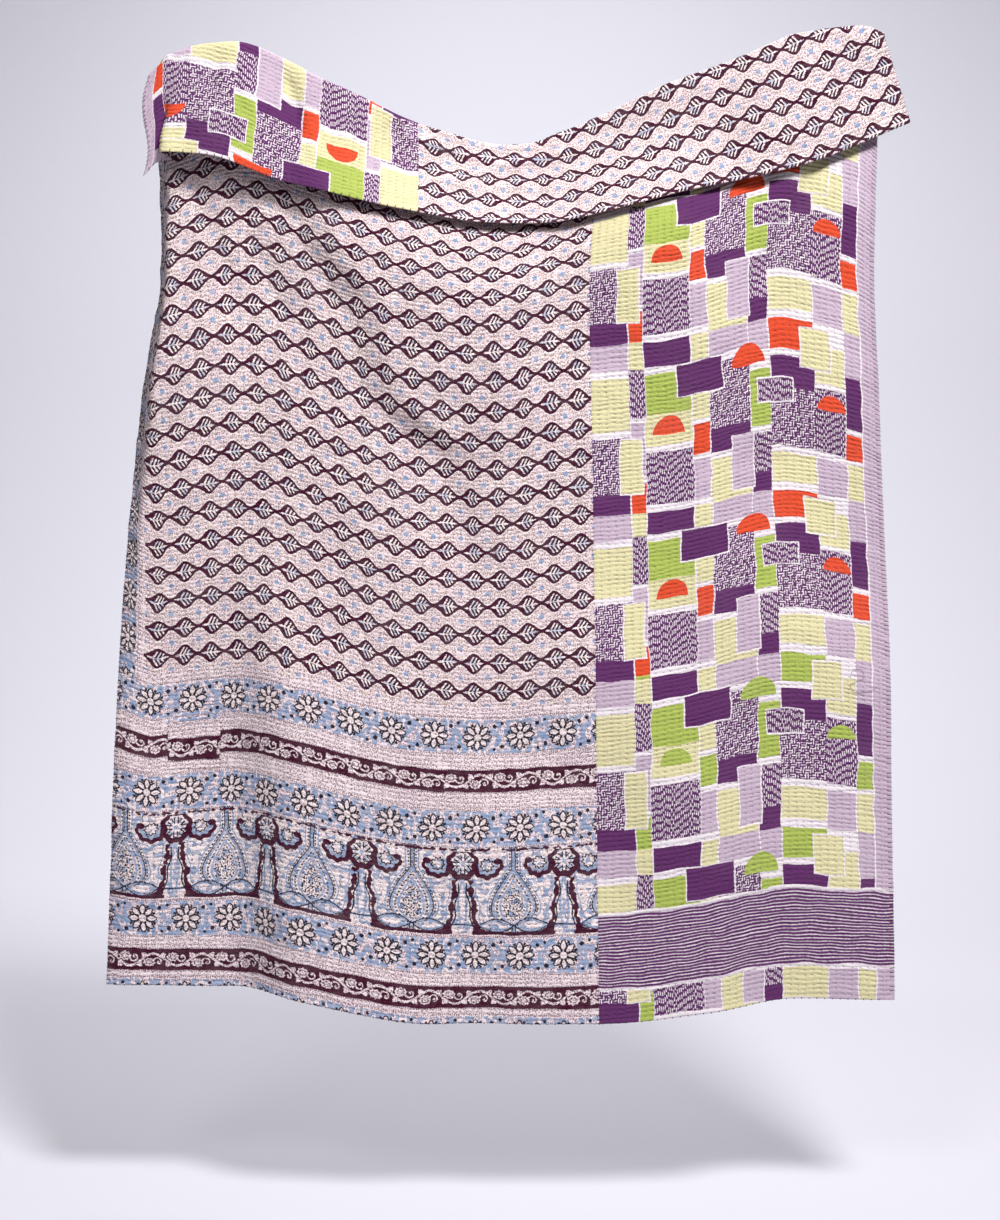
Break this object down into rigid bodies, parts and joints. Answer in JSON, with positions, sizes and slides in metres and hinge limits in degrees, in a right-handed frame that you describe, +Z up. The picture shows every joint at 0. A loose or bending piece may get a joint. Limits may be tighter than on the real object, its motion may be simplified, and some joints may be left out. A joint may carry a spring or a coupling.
{
  "type": "kantha quilt",
  "caption": "Hand-stitched kantha quilt hung from its top edge, folded forward in a flap, with block-printed and geometric panels that change sides on the back.",
  "frame": {"origin": "middle of the top fold, on the cloth's own middle surface", "axes": "+Z up, the front face of the hanging quilt towards -Y, +X to the right of a person who looks at the front"},
  "size_m": [1.4232, 0.2153, 1.7465],
  "materials": {
    "block_print_cloth": "soft washed cotton, block printed in dark plum and pale blue on a pink-white ground",
    "geometric_cloth": "soft washed cotton, printed in purple, lilac, pale yellow, lime and orange on off-white",
    "stitching_thread": "matt cotton thread, dark plum"
  },
  "bodies": {
    "root": {"front_block_print": "block_print_cloth", "front_geometric": "geometric_cloth", "back_geometric": "geometric_cloth", "back_block_print": "block_print_cloth", "front_patch": "block_print_cloth"}
  },
  "joints": []
}
